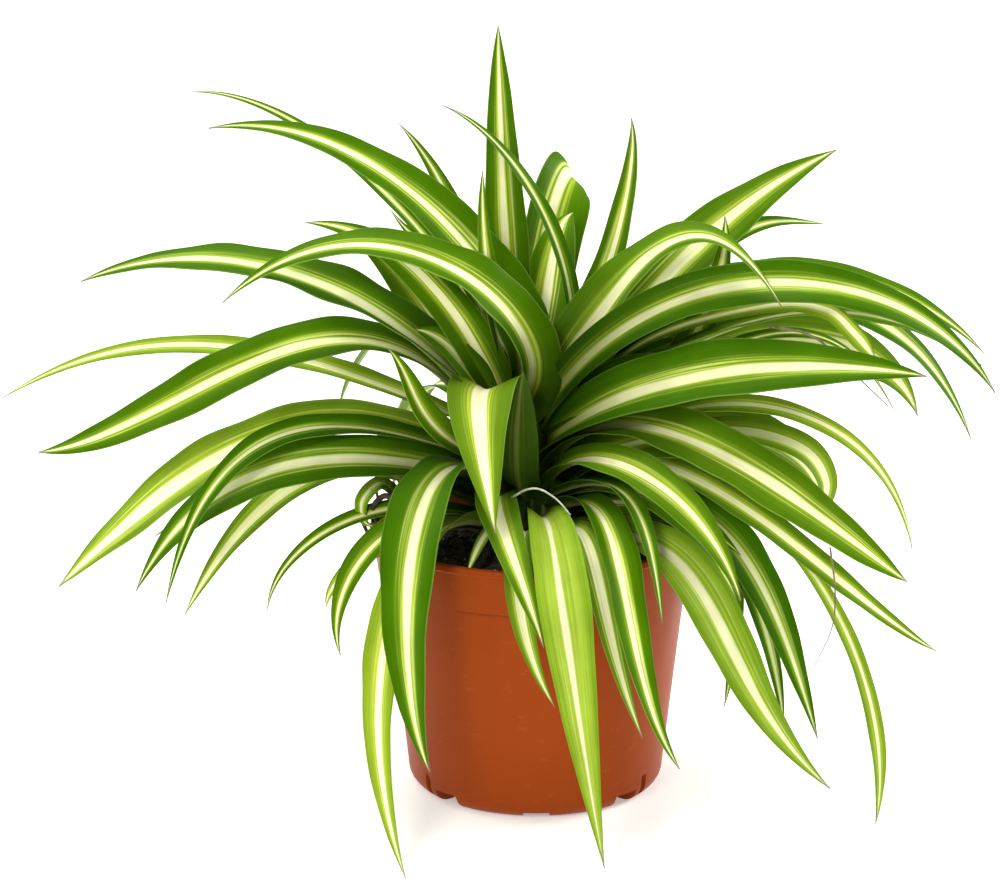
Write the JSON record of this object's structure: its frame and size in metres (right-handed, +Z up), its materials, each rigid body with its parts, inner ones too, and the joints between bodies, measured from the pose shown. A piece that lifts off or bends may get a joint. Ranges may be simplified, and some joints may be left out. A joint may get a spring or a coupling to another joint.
{
  "type": "potted spider plant",
  "caption": "Potted spider plant: a clump of long arching leaves with cream stripes, growing from a short crown in a round, tapering plastic nursery pot.",
  "frame": {"origin": "middle of the pot's underside, on the surface that the pot stands on", "axes": "+Z up along the pot's axis; the front of the plant, where the leaves hang over the rim, faces -Y; +X to the right seen from the front"},
  "size_m": [0.3668, 0.2427, 0.281],
  "materials": {
    "pot": "satin terracotta",
    "potting_mix": "loose, dark, fibrous",
    "crown": "pale green, satin",
    "leaf": "waxy satin, cream stripe"
  },
  "bodies": {
    "root": {"pot": "pot", "potting_mix": "potting_mix", "crown": "crown", "leaf_top_tall": "leaf", "leaf_top_right": "leaf", "leaf_top_back": "leaf", "leaf_top_thin": "leaf", "leaf_high_left": "leaf", "leaf_high_left_thin": "leaf", "leaf_arch_left": "leaf", "leaf_left_upper": "leaf", "leaf_left_upper_back": "leaf", "leaf_left_high": "leaf", "leaf_left_thin": "leaf", "leaf_left_face": "leaf", "leaf_left_pale": "leaf", "leaf_left_dark": "leaf", "leaf_left_mid": "leaf", "leaf_left_lower": "leaf", "leaf_left_down": "leaf", "leaf_left_curl": "leaf", "leaf_left_front_curl": "leaf", "leaf_front_left": "leaf", "leaf_front_left_low": "leaf", "leaf_fold": "leaf", "leaf_front_mid": "leaf", "leaf_front_lime": "leaf", "leaf_front_pale": "leaf", "leaf_front_right_pale": "leaf", "leaf_front_right": "leaf", "leaf_front_right_short": "leaf", "leaf_right_dark": "leaf", "leaf_right_lime": "leaf", "leaf_right_broad": "leaf", "leaf_right_low": "leaf", "leaf_right_front_low": "leaf", "leaf_right_drop": "leaf", "leaf_right_drop_back": "leaf", "leaf_right_drop_small": "leaf", "leaf_right_hang": "leaf", "leaf_right_big": "leaf", "leaf_right_long": "leaf", "leaf_right_long_back": "leaf", "leaf_right_under": "leaf", "leaf_right_tail": "leaf", "leaf_right_pale": "leaf", "leaf_right_thin": "leaf", "leaf_right_mid": "leaf", "leaf_right_curl": "leaf", "leaf_top_right_far": "leaf", "leaf_top_right_bend": "leaf", "leaf_top_right_small": "leaf", "leaf_back_mid": "leaf", "leaf_back_left": "leaf", "leaf_back_right": "leaf", "leaf_back_low": "leaf", "leaf_back_left_low": "leaf", "leaf_back_right_low": "leaf", "leaf_back_left_high": "leaf", "leaf_back_right_high": "leaf"}
  },
  "joints": []
}
